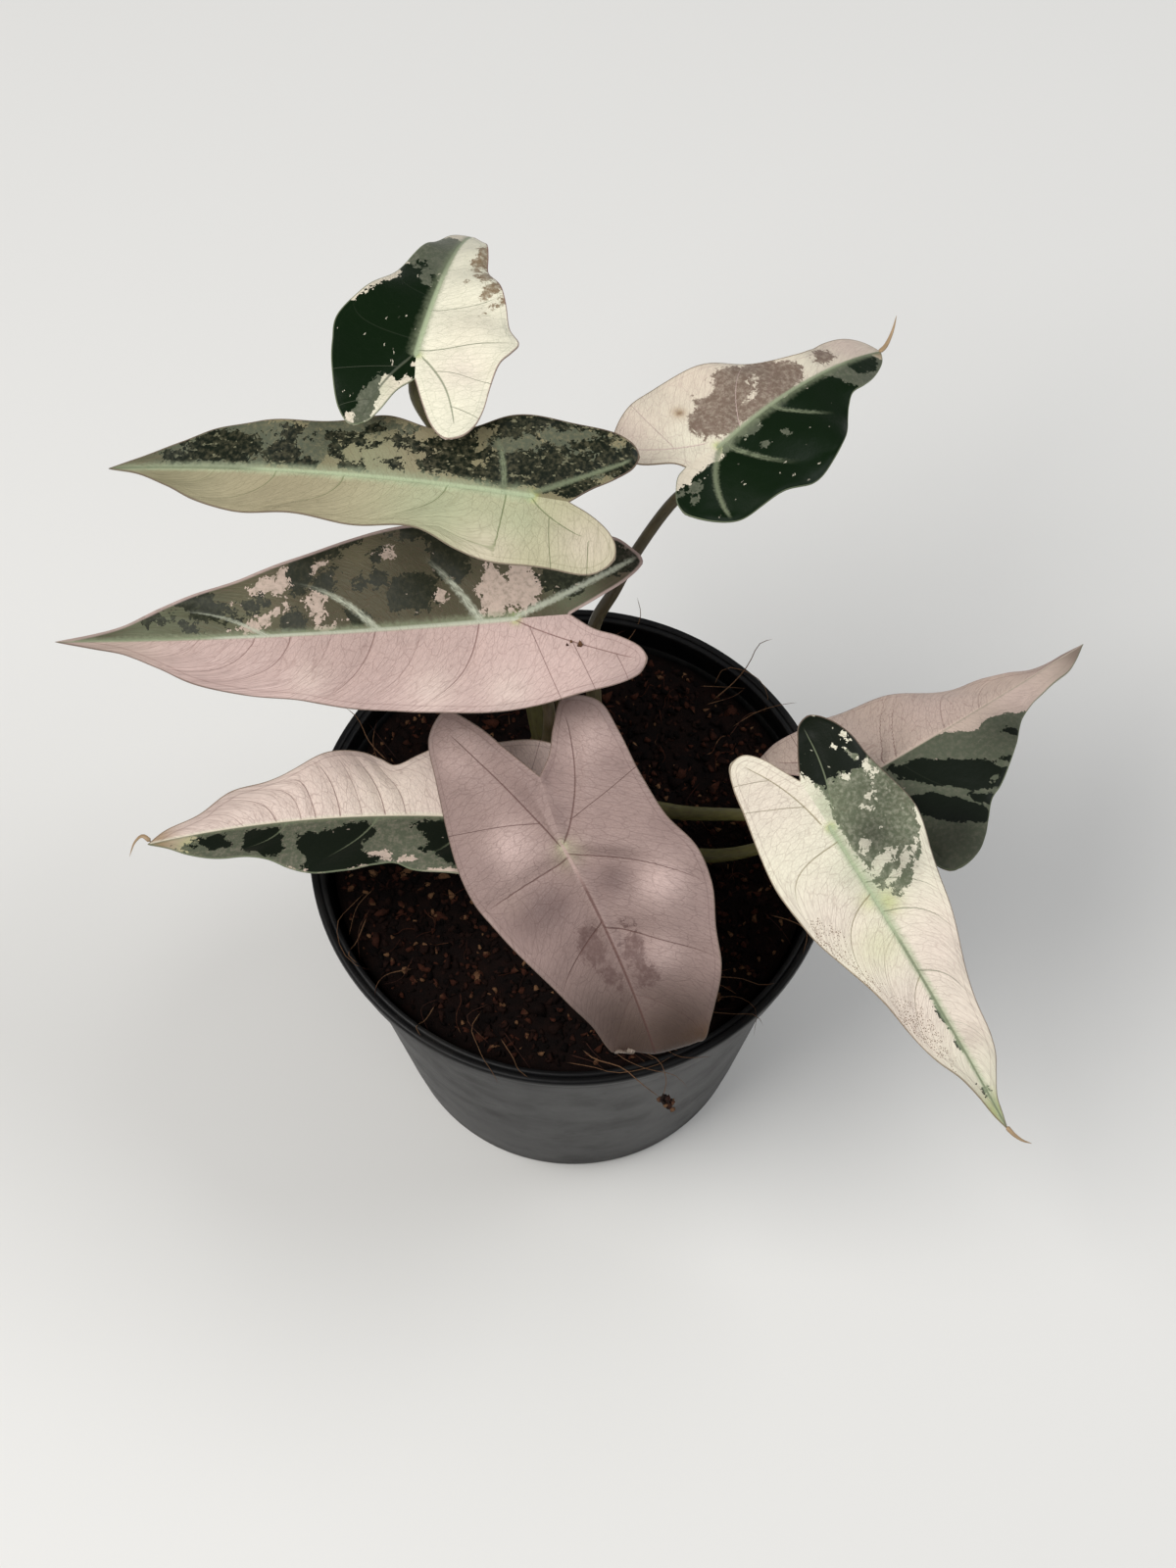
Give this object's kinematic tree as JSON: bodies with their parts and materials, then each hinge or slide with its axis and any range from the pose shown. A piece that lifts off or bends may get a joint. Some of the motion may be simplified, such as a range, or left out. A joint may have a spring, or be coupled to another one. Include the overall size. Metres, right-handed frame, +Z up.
{
  "type": "potted variegated bambino alocasia",
  "caption": "Variegated arrow-leaved house plant on slender stalks, growing in chips in a round black nursery pot.",
  "frame": {"origin": "centre of the pot's flat underside, on the surface that it stands on", "axes": "+Z up out of the pot; -Y towards the side from which the picture looks down; +X to that view's right"},
  "size_m": [0.2852, 0.2211, 0.2882],
  "materials": {
    "black_plastic": "satin black injection-moulded plastic, lightly scuffed",
    "coco_chips": "loose dark brown coco-husk chips and fibre, dry and rough",
    "crown": "dull brown-green stem, dry",
    "stalk": "smooth olive leaf stalk, faintly streaked",
    "leaf_green": "thick leaf, dark green variegated with cream and silver, satin",
    "leaf_pink": "thick leaf, dusty pink variegated with olive, satin",
    "leaf_cream": "thick leaf, cream variegated with dark green, satin"
  },
  "bodies": {
    "root": {"pot": "black_plastic", "potting_mix": "coco_chips", "crown": "crown", "leaf_a_stalk": "stalk", "leaf_a_blade": "leaf_green", "leaf_b_stalk": "stalk", "leaf_b_blade": "leaf_green", "leaf_c_stalk": "stalk", "leaf_c_blade": "leaf_pink", "leaf_d_stalk": "stalk", "leaf_d_blade": "leaf_cream", "leaf_e_stalk": "stalk", "leaf_e_blade": "leaf_pink", "leaf_f_stalk": "stalk", "leaf_f_blade": "leaf_cream", "leaf_g_stalk": "stalk", "leaf_g_blade": "leaf_green", "leaf_h_stalk": "stalk", "leaf_h_blade": "leaf_cream"}
  },
  "joints": []
}
